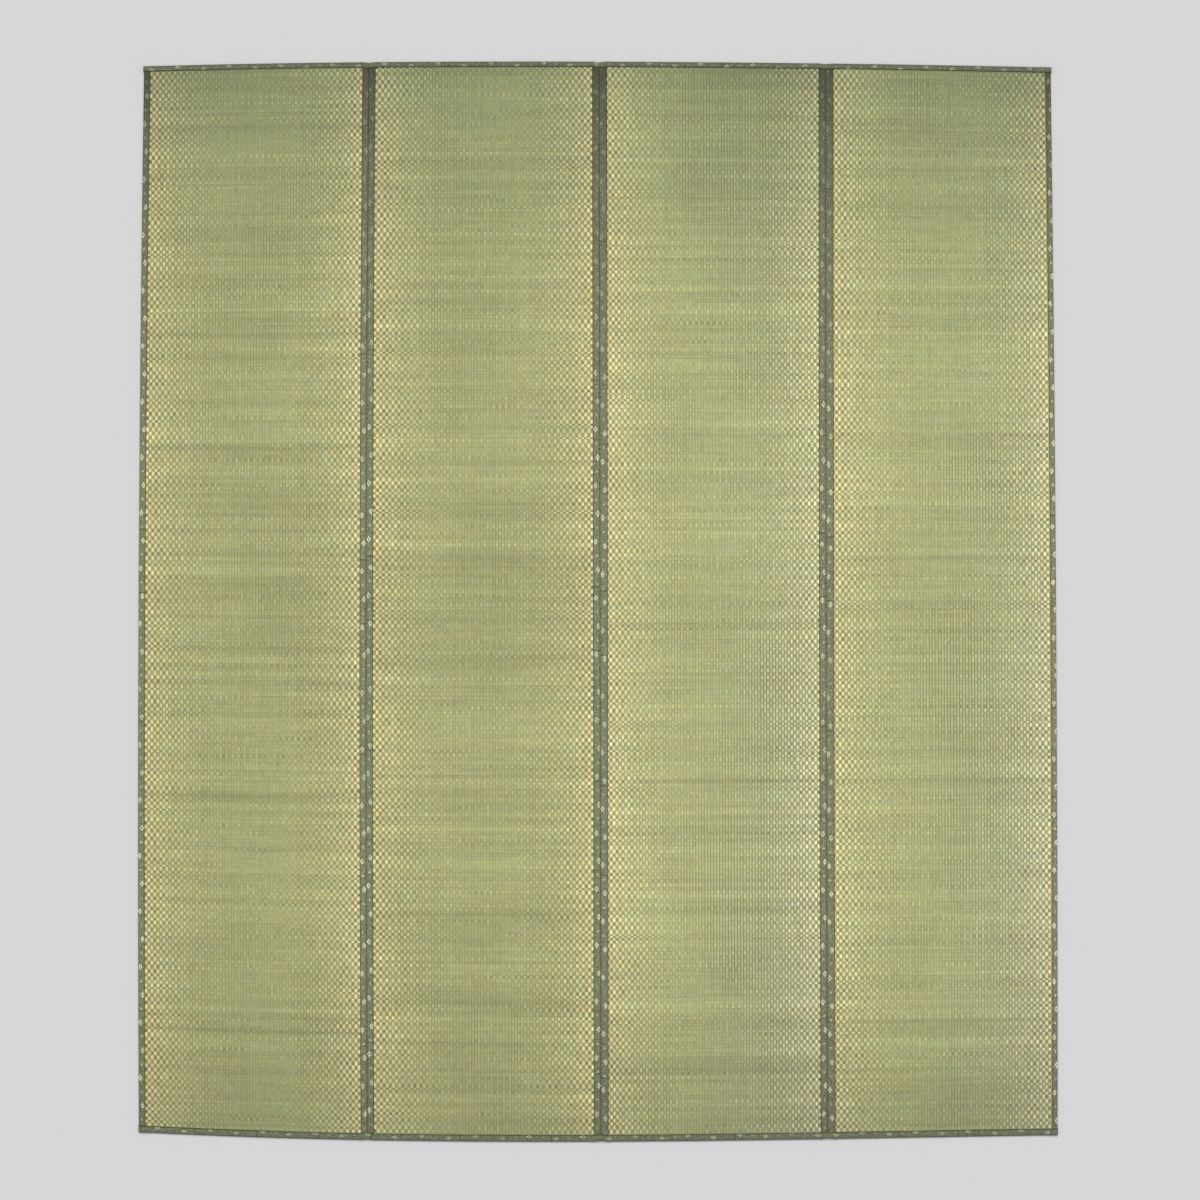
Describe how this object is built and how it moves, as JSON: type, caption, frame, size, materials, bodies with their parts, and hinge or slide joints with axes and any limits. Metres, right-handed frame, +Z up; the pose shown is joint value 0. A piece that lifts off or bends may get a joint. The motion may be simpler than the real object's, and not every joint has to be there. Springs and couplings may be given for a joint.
{
  "type": "rush carpet",
  "caption": "Large flat floor carpet of woven rush strips joined side by side, each strip bound along its long sides with patterned cloth tape and a tape round both ends.",
  "frame": {"origin": "middle of the carpet's outline, on the floor it lies on", "axes": "+X across the strips, +Y along the strips towards the picture's top edge, +Z up"},
  "size_m": [3.5221, 4.1355, 0.0072],
  "materials": {
    "woven_rush": "dry woven rush, low satin sheen, yellow-green with cream cells near the long sides",
    "patterned_tape": "matt woven cloth tape, dark grey-olive with a small cream diamond repeat"
  },
  "bodies": {
    "root": {"rush_strip_1": "woven_rush", "rush_strip_2": "woven_rush", "rush_strip_3": "woven_rush", "rush_strip_4": "woven_rush", "side_tape_1_left": "patterned_tape", "side_tape_1_right": "patterned_tape", "side_tape_2_left": "patterned_tape", "side_tape_2_right": "patterned_tape", "side_tape_3_left": "patterned_tape", "side_tape_3_right": "patterned_tape", "side_tape_4_left": "patterned_tape", "side_tape_4_right": "patterned_tape", "end_tape_front": "patterned_tape", "end_tape_back": "patterned_tape"}
  },
  "joints": []
}
